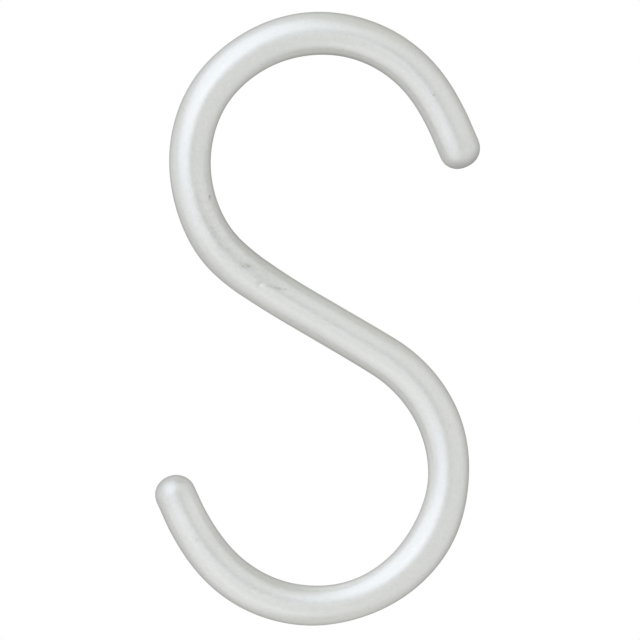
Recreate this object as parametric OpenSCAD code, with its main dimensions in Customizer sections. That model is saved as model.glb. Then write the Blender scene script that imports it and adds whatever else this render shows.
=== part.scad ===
// S hook: one length of round rod, bent into two open loops that share a straight spine. The upper
// loop hangs on a rail, and the lower loop carries the load. Lengths are in millimetres.
//
// The hook hangs in the XZ plane, with +Z up. Its origin is the rail seat: the highest point of the
// upper loop's inside, where the rail bears.

/* [Rod] */
// Diameter of the rod
rod_d = 5; // [4:0.5:6]

/* [Upper loop] */
// Inside radius of the loop that hangs on the rail
upper_inside_r = 13; // [11:0.5:16]
// Angle in degrees that the rod turns through, from the spine round to the upper tail
upper_turn = 213; // [195:1:225]
// Straight length of the upper tail, before its round nose
upper_tail = 5.3; // [2:0.1:8]

/* [Lower loop] */
// Inside radius of the loop that carries the load
lower_inside_r = 13.25; // [11:0.25:16]
// Angle in degrees that the rod turns through, from the spine round to the lower tail
lower_turn = 212; // [195:1:225]
// Straight length of the lower tail, before its round nose
lower_tail = 4.9; // [2:0.1:8]

/* [Spine] */
// Straight length of rod between the two loops
spine_length = 18; // [14:0.5:28]
// Angle in degrees by which the spine falls below level, from the upper loop to the lower
spine_fall = 31.2; // [26:0.2:36]

/* [Hidden] */

satin_aluminium = [0.83, 0.84, 0.82];

// The rod is drawn in metres, and enlarged to millimetres once it is whole. In metres, the hair by
// which two ends miss each other at an odd angle is too fine to count, so the rod has no seam.
mm = 0.001;

rod_r = rod_d / 2 * mm;
upper_bend_r = upper_inside_r * mm + rod_r;
lower_bend_r = lower_inside_r * mm + rod_r;

// Each tail runs this far back into its loop, so that the two overlap and don't just touch.
tail_lap = 0.01 * mm;

// Facets round the rod, and round a whole ring of it
rod_sides = 40;
ring_sides = 120;

// Clear width of a loop's mouth, between its tail's nose and the spine
function mouth(bend_r, turn, tail_length) =
    bend_r * (1 - cos(turn)) + tail_length * sin(turn) - 2 * rod_r;

upper_mouth = mouth(upper_bend_r, upper_turn, upper_tail * mm);
lower_mouth = mouth(lower_bend_r, lower_turn, lower_tail * mm);
assert(min(upper_mouth, lower_mouth) > 2 * rod_r, "A mouth is narrower than the rod.");

// The straight spine, along +X from the origin
module spine()
    rotate([0, 90, 0])
        cylinder(r = rod_r, h = spine_length * mm, $fn = rod_sides);

// A straight tail, along +Y from the origin. Half its outline, a bar and the quarter circle of its
// nose, is turned about its axis.
module tail(length)
    rotate([-90, 0, 0])
        rotate_extrude($fn = rod_sides) {
            translate([0, -tail_lap])
                square([rod_r, tail_lap + length]);
            translate([0, length])
                intersection() {
                    circle(rod_r, $fn = rod_sides);
                    square(rod_r);
                }
        }

// A loop about the origin. Its rod starts at [bend_r, 0], turns clockwise and runs out in a tail.
module loop(bend_r, turn, tail_length)
    mirror([0, 1, 0]) {
        rotate_extrude(angle = turn, $fn = ring_sides)
            translate([bend_r, 0])
                circle(rod_r, $fn = rod_sides);
        rotate(turn)
            translate([bend_r, 0, 0])
                tail(tail_length);
    }

// The bent rod laid out flat, with its spine along +X and the upper loop's centre at the origin. Both
// loops meet the spine square on, so the rod's surface runs smoothly from nose to nose.
module bent_rod() {
    rotate(-90)
        loop(upper_bend_r, upper_turn, upper_tail * mm);
    translate([0, -upper_bend_r, 0])
        spine();
    translate([spine_length * mm, -upper_bend_r - lower_bend_r, 0])
        rotate(90)
            loop(lower_bend_r, lower_turn, lower_tail * mm);
}

// The bent rod tilted by the spine's fall, lowered to bring the rail seat to the origin, stood up and
// enlarged.
module hook()
    color(satin_aluminium)
        scale(1 / mm)
            rotate([90, 0, 0])
                translate([0, -upper_inside_r * mm, 0])
                    rotate(-spine_fall)
                        bent_rod();

hook();
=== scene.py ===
"""Looks of the satin aluminium S hook: the drawn rod with its round noses, its bead-blasted finish, and a
plain white light tent. Lengths are in metres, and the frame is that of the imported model: the hook hangs in
the XZ plane with +Z up, and the rail seat is the origin."""

import math

import bpy
import numpy as np
from mathutils import Matrix, Vector


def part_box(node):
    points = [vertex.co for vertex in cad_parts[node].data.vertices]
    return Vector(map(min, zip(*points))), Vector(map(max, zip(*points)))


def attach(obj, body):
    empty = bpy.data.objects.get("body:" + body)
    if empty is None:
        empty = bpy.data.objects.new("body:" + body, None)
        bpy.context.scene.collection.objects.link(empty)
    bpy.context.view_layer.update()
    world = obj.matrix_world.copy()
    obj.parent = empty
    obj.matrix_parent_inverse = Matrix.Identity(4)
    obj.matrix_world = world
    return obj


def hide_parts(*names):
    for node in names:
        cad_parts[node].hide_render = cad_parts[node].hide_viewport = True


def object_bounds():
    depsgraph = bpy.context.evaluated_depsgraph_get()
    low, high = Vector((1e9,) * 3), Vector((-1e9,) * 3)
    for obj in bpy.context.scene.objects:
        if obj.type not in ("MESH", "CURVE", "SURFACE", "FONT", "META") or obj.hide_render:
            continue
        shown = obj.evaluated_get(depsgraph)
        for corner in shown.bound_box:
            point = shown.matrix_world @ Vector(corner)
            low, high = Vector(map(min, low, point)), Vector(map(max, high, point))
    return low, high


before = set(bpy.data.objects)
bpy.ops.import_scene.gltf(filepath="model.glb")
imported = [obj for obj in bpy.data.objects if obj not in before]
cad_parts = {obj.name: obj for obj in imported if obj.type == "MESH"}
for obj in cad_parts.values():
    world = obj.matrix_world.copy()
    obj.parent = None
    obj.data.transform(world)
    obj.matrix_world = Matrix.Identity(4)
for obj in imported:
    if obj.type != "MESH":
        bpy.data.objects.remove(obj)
cad_low, cad_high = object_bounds()

MM = 0.001

# ---------------------------------------------------------------------------------------------------
# The rod's own sizes

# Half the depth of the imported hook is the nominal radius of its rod.
NOMINAL_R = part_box("hook")[1].y
UPPER_BEND_R = 13.0 * MM + NOMINAL_R
LOWER_BEND_R = 13.25 * MM + NOMINAL_R
UPPER_TURN = math.radians(213)
LOWER_TURN = math.radians(212)
UPPER_TAIL = 5.3 * MM
LOWER_TAIL = 4.9 * MM
SPINE_LENGTH = 18.0 * MM
SPINE_FALL = math.radians(31.2)

# Drawn rod comes out a hair under its nominal size, and blasting its turned ends leaves them a little
# blunter than a half ball.
ROD_R = NOMINAL_R - 0.025 * MM
NOSE_LENGTH = 2.35 * MM
UPPER_NOSE_BLUNTNESS = 2.15
LOWER_NOSE_BLUNTNESS = 2.06

# Where each stretch of the rod ends, measured along its middle from the root of the upper nose
UPPER_TAIL_END = UPPER_TAIL
UPPER_BEND_END = UPPER_TAIL_END + UPPER_BEND_R * UPPER_TURN
SPINE_END = UPPER_BEND_END + SPINE_LENGTH
LOWER_BEND_END = SPINE_END + LOWER_BEND_R * LOWER_TURN
ROD_END = LOWER_BEND_END + LOWER_TAIL

# What bending by hand over a former leaves behind, in millimetres: (place along the rod, reach, amount).
# A swell makes the rod wider across the bend, or narrower where it is negative. A sway moves its middle.
SWELLS = [
    (9, 10, -0.05),
    (25, 5, 0.14),
    (50, 5, -0.08),
    (60, 5, 0.18),
    (88, 8, 0.15),
    (98, 4, -0.18),
    (105, 4, 0.15),
    (117, 6, -0.40),
    (126, 4, -0.10),
    (144, 5, -0.14),
]
SWAYS = [
    (-2, 2, -0.05),
    (3.5, 2.5, 0.13),
    (38, 4, 0.10),
    (51, 6, -0.16),
    (61, 3, -0.12),
    (68, 4, 0.08),
    (79, 4, -0.06),
    (93, 8, -0.08),
    (136, 8, 0.07),
    (141, 2.5, -0.17),
    (146, 1, -0.06),
]

# ---------------------------------------------------------------------------------------------------
# The rod's surface

RING_STEP = 0.25 * MM
RING_SIDES = 96
NOSE_RINGS = 16

# Points on the middle line's running sum
FINE_POINTS = 40001

# The UV map that unrolls the rod, in metres: its length across, and its girth up
UNROLLED = "along_and_around"


def bumps(along, entries):
    """The sum of amount * exp(-((along - place) / reach)^2) over the entries, which are in millimetres."""
    place, reach, amount = (np.array(entries) * MM).T
    return (amount * np.exp(-(((along[:, None] - place) / reach) ** 2))).sum(axis=1)


def heading(along):
    """The direction the rod runs in, as an angle from +X towards +Z. Along the spine it is the spine's
    fall, and each loop turns it evenly: by the upper turn before the spine, by the lower turn after it."""
    upper = np.clip((along - UPPER_TAIL_END) / (UPPER_BEND_END - UPPER_TAIL_END), 0, 1)
    lower = np.clip((along - SPINE_END) / (LOWER_BEND_END - SPINE_END), 0, 1)
    return -SPINE_FALL + UPPER_TURN * (upper - 1) - LOWER_TURN * lower


def middle_line(along):
    """Points (x, z) of the rod's middle: the running sum of the heading's unit vector, moved to bring the
    crown of the upper loop to one rod radius over the rail seat."""
    fine = np.linspace(along[0], along[-1], FINE_POINTS)
    angle = heading((fine[1:] + fine[:-1]) / 2)
    steps = np.stack([np.cos(angle), np.sin(angle)], axis=1) * (fine[1] - fine[0])
    points = np.vstack([np.zeros(2), np.cumsum(steps, axis=0)])
    crown = UPPER_TAIL_END + UPPER_BEND_R * (UPPER_TURN + SPINE_FALL - math.pi)
    at_crown = [np.interp(crown, fine, points[:, k]) for k in range(2)]
    points = points - at_crown + [0, ROD_R]
    return np.stack([np.interp(along, fine, points[:, k]) for k in range(2)], axis=1)


def rod_rings():
    """The rings' places along the rod and their share of its radius. The shaft has even rings. A nose is
    a quarter of a blunt ellipse: its rings are at L cos(t)^(2/b) beyond the root, and their share is
    sin(t)^(2/b), for t from the pole to a right angle, length L and bluntness b."""
    t = np.linspace(0, math.pi / 2, NOSE_RINGS + 1)[1:-1]
    upper, lower = 2 / UPPER_NOSE_BLUNTNESS, 2 / LOWER_NOSE_BLUNTNESS
    shaft = np.linspace(0, ROD_END, round(ROD_END / RING_STEP) + 1)
    before = -NOSE_LENGTH * np.cos(t) ** upper
    after = ROD_END + NOSE_LENGTH * np.cos(t[::-1]) ** lower
    share = [np.sin(t) ** upper, np.ones(len(shaft)), np.sin(t[::-1]) ** lower]
    return np.concatenate([before, shaft, after]), np.concatenate(share)


def mesh_object(name, points, faces, uv_of_corners):
    """A smooth-shaded mesh object at the origin, with one UV map."""
    mesh = bpy.data.meshes.new(name)
    mesh.from_pydata(points, [], faces)
    mesh.polygons.foreach_set("use_smooth", np.ones(len(mesh.polygons), bool))
    mesh.uv_layers.new(name=UNROLLED).data.foreach_set("uv", uv_of_corners.ravel())
    mesh.update()
    piece = bpy.data.objects.new(name, mesh)
    bpy.context.scene.collection.objects.link(piece)
    return piece


def rod_points(along, share, around):
    """Points on the rod's surface, one ring for each place along it. From the middle line, swayed, a point
    lies to the side by the half width across the bend times the sine of its angle around, and to the front,
    -Y, by the radius times the cosine. Both are scaled by the ring's share. The side is the heading turned
    a right angle clockwise."""
    angle = heading(along)
    side = np.stack([np.sin(angle), -np.cos(angle)], axis=1)
    middle = middle_line(along) + bumps(along, SWAYS)[:, None] * side
    half_width = ROD_R + bumps(along, SWELLS) / 2
    across = (share * half_width)[:, None] * np.sin(around)
    x = middle[:, :1] + across * side[:, :1]
    z = middle[:, 1:] + across * side[:, 1:]
    y = -(share * ROD_R)[:, None] * np.cos(around)
    return np.stack([x, y, z], axis=2).reshape(-1, 3)


def nose_fan(pole, pole_along, ring, ring_along, pairs, around):
    """Triangles from a nose's pole to the pairs of neighbours on the ring next to it, and the UV places of
    their corners. On the UV map the pole lies halfway between the two neighbours."""
    points = np.column_stack([np.full(len(pairs), pole), ring * RING_SIDES + pairs % RING_SIDES])
    s = np.column_stack([np.full(len(pairs), pole_along), np.full(pairs.shape, ring_along)])
    a = np.column_stack([around[pairs].mean(axis=1), around[pairs]])
    return points, np.stack([s, ROD_R * a], axis=2)


def bent_rod():
    """The rod as a grid of rings, with one point that closes each nose. The seam lies at the back. The UV
    map is the place along the rod and the radius times the angle around, so that the unrolled rod has one
    column more than a ring has points."""
    along, share = rod_rings()
    around = np.linspace(-math.pi, math.pi, RING_SIDES + 1)
    rings = rod_points(along, share, around[:-1])
    tips = np.array([-NOSE_LENGTH, ROD_END + NOSE_LENGTH])
    poles = rod_points(tips, np.zeros(2), np.zeros(1))

    ring, column = np.indices((len(along) - 1, RING_SIDES)).reshape(2, -1)
    ring = np.stack([ring, ring, ring + 1, ring + 1], axis=1)
    column = np.stack([column, column + 1, column + 1, column], axis=1)
    quads = ring * RING_SIDES + column % RING_SIDES
    quad_uv = np.stack([along[ring], ROD_R * around[column]], axis=2)

    columns = np.arange(RING_SIDES)
    pairs = np.stack([columns + 1, columns], axis=1)
    last_ring = len(along) - 1
    upper_fan, upper_uv = nose_fan(len(rings), tips[0], 0, along[0], pairs, around)
    lower_fan, lower_uv = nose_fan(len(rings) + 1, tips[1], last_ring, along[-1], pairs[:, ::-1], around)

    faces = [*quads.tolist(), *upper_fan.tolist(), *lower_fan.tolist()]
    uv = np.vstack([part.reshape(-1, 2) for part in (quad_uv, upper_uv, lower_uv)])
    return mesh_object("bent_rod", np.vstack([rings, poles]).tolist(), faces, uv)


# ---------------------------------------------------------------------------------------------------
# Shader expressions


class Wire:
    """An output socket of a node tree. Arithmetic on wires adds Math nodes to the tree."""

    def __init__(self, tree, socket):
        self.tree = tree
        self.socket = socket

    def node(self, kind, settings, inputs, output=0):
        """A wire from a new node of that kind in the same tree."""
        return add_node(self.tree, kind, settings, inputs, output)

    def math(self, operation, *values):
        """A wire from a Math node on those wires or numbers."""
        return self.node("ShaderNodeMath", {"operation": operation}, dict(enumerate(values)))

    def __add__(self, other):
        return self.math("ADD", self, other)

    def __sub__(self, other):
        return self.math("SUBTRACT", self, other)

    def __rsub__(self, other):
        return self.math("SUBTRACT", other, self)

    def __mul__(self, other):
        return self.math("MULTIPLY", self, other)

    def __truediv__(self, other):
        return self.math("DIVIDE", self, other)

    __radd__ = __add__
    __rmul__ = __mul__


def add_node(tree, kind, settings, inputs, output=0):
    """Adds a node of that kind: its settings first, then its sockets' values or wires. Returns a wire from
    its output."""
    node = tree.nodes.new(kind)
    for name, value in settings.items():
        setattr(node, name, value)
    for name, value in inputs.items():
        if isinstance(value, Wire):
            tree.links.new(value.socket, node.inputs[name])
        else:
            node.inputs[name].default_value = value
    return Wire(tree, node.outputs[output]) if node.outputs else None


def empty_tree(owner):
    """The owner's node tree, cleared."""
    owner.use_nodes = True
    owner.node_tree.nodes.clear()
    return owner.node_tree


def noise(coords, size, detail=2.0):
    """Noise from 0 to 1 whose blotches are about that size across, in metres."""
    return coords.node("ShaderNodeTexNoise", {}, {"Vector": coords, "Scale": 1 / size, "Detail": detail})


def ramp(value, low, high, at_low=0.0, at_high=1.0):
    """A smooth step from one value to another, as the input goes from low to high."""
    inputs = {"Value": value, "From Min": low, "From Max": high, "To Min": at_low, "To Max": at_high}
    return value.node("ShaderNodeMapRange", {"interpolation_type": "SMOOTHSTEP"}, inputs)


def blended(share, first, second):
    """The first colour, with that share of it replaced by the second."""
    return share.node("ShaderNodeMix", {"data_type": "RGBA"}, {0: share, 6: first, 7: second}, output=2)


def spot(along, around, at_along, at_around, half_length, half_width, lean):
    """A soft oval on the unrolled rod: exp(-(x / half length)^2 - (y / half width)^2), with x and y its own
    axes, turned by the lean from the rod's. Sizes are in millimetres, and the lean in degrees."""
    c, s = math.cos(math.radians(lean)), math.sin(math.radians(lean))
    x = ((along - at_along) * c + (around - at_around) * s) / half_length
    y = ((around - at_around) * c - (along - at_along) * s) / half_width
    return along.math("EXPONENT", 0 - (x * x + y * y))


def marks(along, around, entries):
    """The sum of the entries' soft ovals, each times its amount, which is an entry's last value."""
    return sum(spot(along, around, *entry[:5]) * entry[5] for entry in entries)


# ---------------------------------------------------------------------------------------------------
# Satin aluminium

ALUMINIUM = (0.574, 0.578, 0.548)
EDGE_TINT = (0.46, 0.46, 0.46, 1.0)
GRIME = (0.25, 0.25, 0.215, 1.0)

# The tone and roughness that the grain, the ends and the marks add to or take from
BASE_TONE = 0.888
BASE_ROUGHNESS = 0.31

# Sizes of the grain, in metres
BLASTING_SIZE = 0.2 * MM
RAGGED_SIZE = 0.3 * MM
PITTING_SIZE = 0.55 * MM
CLOUD_SIZE = 5.0 * MM

# The drawing lines are noise on a cylinder about as big as the rod, in millimetres, stretched along it.
DRAWING_STRETCH = 60
DRAWING_RADIUS = 2.5
DRAWING_SIZE = 0.14

# Depths of the relief, in millimetres. Pitting goes deeper where the rod is stretched or turned.
BLASTING_DEPTH = 0.005
PITTING_DEPTH = 0.009
STRETCHED_DEPTH = 0.005
TURNED_DEPTH = 0.006
DRAWING_DEPTH = 0.001

# Millimetres: how much of the shaft at each end was turned, from where to where beyond the shaft the tips
# grow duller, and how far from the front towards the outside of a bend the rod is stretched in full
END_REACH = 2.5
TIP_START = 0.6
TIP_FULL = 2.2
FULL_STRETCH = 3.5

UPPER_TIP_DULLING = 0.16
LOWER_TIP_DULLING = 0.09

# Rubbed grey marks and nicks, in millimetres on the unrolled rod: (along, around, half length, half width,
# lean in degrees, amount). Around is 0 at the front, and grows towards the outside of the upper loop. A
# rub's amount is its share of grime, and a negative one leaves its middle clean. A nick's is its depth.
RUBS = [
    (56.5, -0.60, 5.5, 0.60, 1, 0.12),
    (61.1, -0.40, 0.45, 0.30, -25, 0.18),
    (61.8, -0.80, 0.70, 0.24, -15, 0.34),
    (65.1, -0.15, 0.50, 0.18, -20, 0.16),
    (65.8, -0.42, 0.45, 0.18, -22, 0.18),
    (66.3, -0.62, 0.32, 0.18, -20, 0.42),
    (66.9, -0.90, 0.22, 0.12, -35, 0.30),
    (64.1, 0.20, 0.44, 0.40, 0, 0.34),
    (64.2, 0.25, 0.26, 0.24, 0, -0.42),
    (56.0, -0.50, 0.35, 0.20, 5, 0.10),
    (51.4, -2.00, 0.28, 0.18, 25, 0.95),
    (6.9, 0.10, 0.16, 0.13, 30, 0.38),
    (91.9, -1.00, 0.22, 0.16, 30, 0.20),
    (138.3, -0.20, 0.34, 0.28, 0, 0.17),
    (19.7, -1.80, 0.14, 0.12, 0, 0.25),
]
NICKS = [
    (64.1, 0.20, 0.36, 0.32, 0, 0.040),
    (51.5, -1.92, 0.30, 0.22, 25, 0.040),
    (61.7, -0.90, 0.80, 0.20, -18, 0.012),
    (66.6, -0.75, 0.50, 0.14, -24, 0.014),
    (68.1, -2.10, 0.20, 0.14, 20, 0.014),
    (69.7, 2.10, 0.26, 0.16, -40, 0.016),
]
# Where the rod has been handled most, its mottling is stronger: a mark without an amount.
SCUFFED = (56.0, -0.90, 8.0, 1.8, 0)
# Painted shade and painted highlight: broad stretches made darker or lighter to follow the rod's shading,
# most of them along its rims and the flanks of its highlights, written as the rubs are. Each amount is added
# to the tone.
PAINTED_SHADING_PATCHES = [
    (17.0, -0.90, 12.0, 0.80, 0, -0.04),
    (18.5, -3.25, 10.0, 0.75, 0, -0.20),
    (38.0, 0.30, 6.0, 0.50, 0, 0.07),
    (46.0, 1.70, 3.0, 0.60, 0, 0.04),
    (59.5, 2.00, 5.5, 1.00, 0, -0.10),
    (59.5, -3.20, 7.5, 0.80, 0, -0.13),
    (64.0, -1.10, 3.0, 0.70, 0, -0.07),
    (73.0, -2.00, 5.5, 0.60, 0, 0.07),
    (72.0, 1.40, 6.0, 0.60, 0, -0.06),
    (78.0, 3.20, 9.0, 0.60, 0, -0.11),
    (100.0, 1.95, 8.5, 0.50, 0, 0.10),
    (108.0, 0.35, 6.0, 0.50, 0, 0.06),
    (117.5, 2.30, 6.0, 0.80, 0, 0.13),
    (119.0, -3.10, 8.5, 1.10, 0, 0.14),
    (142.5, 2.20, 4.0, 1.00, 0, 0.12),
]


def satin_aluminium():
    """Drawn aluminium rod, bead blasted and clear anodised. Its blasted grain is coarser on the stretched
    outside of each bend and on the turned ends. It has duller tips, the last of its drawing lines, a faint
    cloudiness, and rubs and nicks from handling. Broad patches of painted shade and painted highlight,
    darker or lighter, follow the rod's shading."""
    material = bpy.data.materials.new("satin_aluminium")
    tree = empty_tree(material)
    place = add_node(tree, "ShaderNodeTexCoord", {}, {}, "Object")
    unrolled = add_node(tree, "ShaderNodeUVMap", {"uv_map": UNROLLED}, {})
    along = unrolled.node("ShaderNodeSeparateXYZ", {}, {0: unrolled}, "X") / MM
    around = unrolled.node("ShaderNodeSeparateXYZ", {}, {0: unrolled}, "Y") / MM
    rod_end = ROD_END / MM

    # 1 outside the upper loop's bend, -1 outside the lower loop's, which lies on the rod's other side
    bend_side = ramp(along, UPPER_BEND_END / MM, SPINE_END / MM, 1.0, -1.0)
    stretched = ramp(bend_side * around, 0.0, FULL_STRETCH)
    ends = ramp(along, 0.0, END_REACH, 1.0, 0.0) + ramp(along, rod_end - END_REACH, rod_end)
    upper_tip = ramp(along, -TIP_FULL, -TIP_START, UPPER_TIP_DULLING, 0.0)
    lower_tip = ramp(along, rod_end + TIP_START, rod_end + TIP_FULL, 0.0, LOWER_TIP_DULLING)

    blasting = noise(place, BLASTING_SIZE, detail=3.0)
    pitting = noise(place, PITTING_SIZE)
    cloud = noise(place, CLOUD_SIZE)
    angle = around * (MM / ROD_R)
    rolled = {
        0: along / DRAWING_STRETCH,
        1: angle.math("COSINE") * DRAWING_RADIUS,
        2: angle.math("SINE") * DRAWING_RADIUS,
    }
    drawing_lines = noise(along.node("ShaderNodeCombineXYZ", {}, rolled), DRAWING_SIZE)

    # Noise breaks the rubs up, from 0.4 to 1.6 times their amount.
    ragged = ramp(noise(place, RAGGED_SIZE), 0.3, 0.7, 0.4, 1.6)
    rubbed = ragged * marks(along, around, RUBS)
    nicked = marks(along, around, NICKS)
    # Painted shade and painted highlight: the patches darken or lighten stretches of the tone to follow the
    # rod's shading.
    painted_shading = marks(along, around, PAINTED_SHADING_PATCHES)
    mottle = (0.10 + 0.16 * spot(along, around, *SCUFFED)) * (pitting - 0.5)

    grain = mottle + 0.18 * blasting + 0.03 * cloud + 0.01 * drawing_lines
    # The tone carries the patches' painted shade and painted highlight along with the grain.
    tone = BASE_TONE + painted_shading + grain - 0.02 * ends - (upper_tip + lower_tip)
    clean = place.node("ShaderNodeVectorMath", {"operation": "SCALE"}, {0: ALUMINIUM, "Scale": tone})
    colour = blended(rubbed, clean, GRIME)
    grain_roughness = 0.08 * blasting + 0.05 * pitting + 0.02 * cloud
    roughness = BASE_ROUGHNESS + grain_roughness + 0.06 * ends + 0.1 * rubbed
    pitting_depth = PITTING_DEPTH + STRETCHED_DEPTH * stretched + TURNED_DEPTH * ends
    height = pitting_depth * pitting + BLASTING_DEPTH * blasting + DRAWING_DEPTH * drawing_lines - nicked
    normal = place.node("ShaderNodeBump", {}, {"Strength": 1.0, "Distance": MM, "Height": height})
    inputs = {
        "Base Color": colour,
        "Metallic": 1.0,
        "Roughness": roughness,
        "Specular Tint": EDGE_TINT,
        "Normal": normal,
    }
    surface = place.node("ShaderNodeBsdfPrincipled", {}, inputs)
    place.node("ShaderNodeOutputMaterial", {}, {"Surface": surface})
    return material


# ---------------------------------------------------------------------------------------------------
# Floor, tent and lamps

WHITE = (1, 1, 1, 1)

LAMP_DISTANCE = 1.2
LOW_LAMP_DISTANCE = 0.8
FRONT_LAMP_DISTANCE = 0.45

FLOOR_DROP = 1.0
FLOOR_RADIUS = 3.0
FLOOR_SIDES = 64
FLOOR_PAINT = (0.82, 0.82, 0.82, 1)
FLOOR_GLOW = 1.04
FLOOR_GLOW_SHARE = 0.8

# The card fills a cone of that half angle, in degrees, as seen from the hook.
CARD_DISTANCE = 0.9
CARD_HALF_ANGLE = 13
CARD_SIDES = 48
CARD_GLOW = 0.57

hook_centre = (cad_low + cad_high) / 2


def towards(azimuth, elevation):
    """The unit vector from the hook to a place seen from it at that azimuth from the front, to the right,
    and that height over the horizon, in degrees."""
    a, e = math.radians(azimuth), math.radians(elevation)
    return Vector((math.sin(a) * math.cos(e), -math.cos(a) * math.cos(e), math.sin(e)))


def facing_hook(azimuth, elevation, roll, distance):
    """The placing of a thing that faces the hook from there, turned by a roll about its own axis."""
    away = towards(azimuth, elevation)
    facing = away.to_track_quat("Z", "Y").to_matrix().to_4x4()
    rolled = Matrix.Rotation(math.radians(roll), 4, "Z")
    return Matrix.Translation(hook_centre + away * distance) @ facing @ rolled


def softbox(name, azimuth, elevation, half_width, half_height, roll, glow, distance=LAMP_DISTANCE):
    """A rectangular soft lamp. Its half sizes are the tangents of the angles that it fills from the hook,
    and its glow is its radiance, in which 1 is a white surround. A lamp's power is its radiance times pi
    times its area."""
    lamp = bpy.data.lights.new(name, "AREA")
    lamp.shape = "RECTANGLE"
    lamp.size = 2 * half_width * distance
    lamp.size_y = 2 * half_height * distance
    strongest = max(glow)
    lamp.color = [g / strongest for g in glow]
    lamp.energy = strongest * math.pi * lamp.size * lamp.size_y
    holder = bpy.data.objects.new(name, lamp)
    holder.matrix_world = facing_hook(azimuth, elevation, roll, distance)
    bpy.context.scene.collection.objects.link(holder)


def white_surround():
    """A world of plain white."""
    world = bpy.data.worlds.new("white_surround")
    bpy.context.scene.world = world
    tree = empty_tree(world)
    glow = add_node(tree, "ShaderNodeBackground", {}, {"Color": WHITE, "Strength": 1.0})
    glow.node("ShaderNodeOutputWorld", {}, {"Surface": glow})


# The rays that show the background: the camera's own, and those off gloss and through glass
SEEN_RAYS = ("Is Camera Ray", "Is Glossy Ray", "Is Transmission Ray")


def disc(name, radius, sides, placing, material):
    """A flat round plate: points evenly round a level circle at the origin, then moved by the placing."""
    t = np.arange(sides) * 2 * math.pi / sides
    rim = np.stack([radius * np.cos(t), radius * np.sin(t), np.zeros(sides)], axis=1)
    mesh = bpy.data.meshes.new(name)
    mesh.from_pydata(rim.tolist(), [], [list(range(sides))])
    mesh.transform(placing)
    mesh.materials.append(material)
    plate = bpy.data.objects.new(name, mesh)
    bpy.context.scene.collection.objects.link(plate)
    return plate


def pale_floor():
    """A round floor a metre below the hook. To the camera and in reflections a part of its pale paint is
    replaced by a white glow, so that it runs into the white surround and still shows a shadow."""
    material = bpy.data.materials.new("pale_floor")
    tree = empty_tree(material)
    paint = add_node(tree, "ShaderNodeBsdfDiffuse", {}, {"Color": FLOOR_PAINT})
    glow = add_node(tree, "ShaderNodeEmission", {}, {"Color": WHITE, "Strength": FLOOR_GLOW})
    seen = sum(add_node(tree, "ShaderNodeLightPath", {}, {}, ray) for ray in SEEN_RAYS)
    share = FLOOR_GLOW_SHARE * seen
    mixed = glow.node("ShaderNodeMixShader", {}, {0: share, 1: paint, 2: glow})
    mixed.node("ShaderNodeOutputMaterial", {}, {"Surface": mixed})
    level = Matrix.Translation((0, 0, cad_low.z - FLOOR_DROP))
    floor = disc("floor", FLOOR_RADIUS, FLOOR_SIDES, level, material)


def camera_card():
    """A grey round card in front of the hook, to the right and above, which stands for the camera as the
    metal sees it. The camera doesn't see it, and it casts no shadow."""
    material = bpy.data.materials.new("grey_card")
    tree = empty_tree(material)
    glow = add_node(tree, "ShaderNodeEmission", {}, {"Color": WHITE, "Strength": CARD_GLOW})
    glow.node("ShaderNodeOutputMaterial", {}, {"Surface": glow})
    radius = CARD_DISTANCE * math.tan(math.radians(CARD_HALF_ANGLE))
    placing = facing_hook(azimuth=9, elevation=13, roll=0, distance=CARD_DISTANCE)
    card = disc("camera_card", radius, CARD_SIDES, placing, material)
    card.visible_camera = False
    card.visible_shadow = False


def light_tent():
    """A white surround and six soft lamps: four from the front and the left, and two weak ones behind."""
    white_surround()
    # Name, azimuth, elevation, half width, half height, roll, glow, and a distance if not the usual one
    softbox("key", -40, 33, 0.65, 0.95, 22, (0.45, 0.50, 0.62))
    softbox("left_wall", -95, 34, 1.7, 1.3, -20, (0.16, 0.175, 0.21))
    softbox("front_wall", 33, -6, 2.4, 2.2, 5, (0.21, 0.215, 0.24), FRONT_LAMP_DISTANCE)
    softbox("low_left", -55, -43, 0.6, 0.6, 0, (0.30, 0.30, 0.33), LOW_LAMP_DISTANCE)
    softbox("high_back", -155, 30, 0.6, 0.6, 0, (0.08, 0.085, 0.095))
    softbox("low_back", -140, -20, 0.5, 0.4, 0, (0.12, 0.125, 0.14), LOW_LAMP_DISTANCE)


# ---------------------------------------------------------------------------------------------------
# Camera

FRAME_PIXELS = 640
PIXEL_SIZE = 0.1176 * MM
CAMERA_PLACE = (-0.106 * MM, -0.25, -31.24 * MM)
CLIP_START = 0.01
CLIP_END = 20.0


def front_camera():
    """A camera level with the hook's middle that looks along +Y with no foreshortening. Its frame is 640
    pixels of 0.1176 mm."""
    camera = bpy.data.cameras.new("camera")
    camera.type = "ORTHO"
    camera.ortho_scale = FRAME_PIXELS * PIXEL_SIZE
    camera.clip_start = CLIP_START
    camera.clip_end = CLIP_END
    holder = bpy.data.objects.new("camera", camera)
    holder.location = CAMERA_PLACE
    holder.rotation_euler = (math.pi / 2, 0, 0)
    bpy.context.scene.collection.objects.link(holder)
    bpy.context.scene.camera = holder


# ---------------------------------------------------------------------------------------------------
# The scene

rod = bent_rod()
rod.data.materials.append(satin_aluminium())
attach(rod, "root")
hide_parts("hook")

light_tent()
pale_floor()
camera_card()
front_camera()
bpy.context.scene.view_settings.view_transform = "Standard"
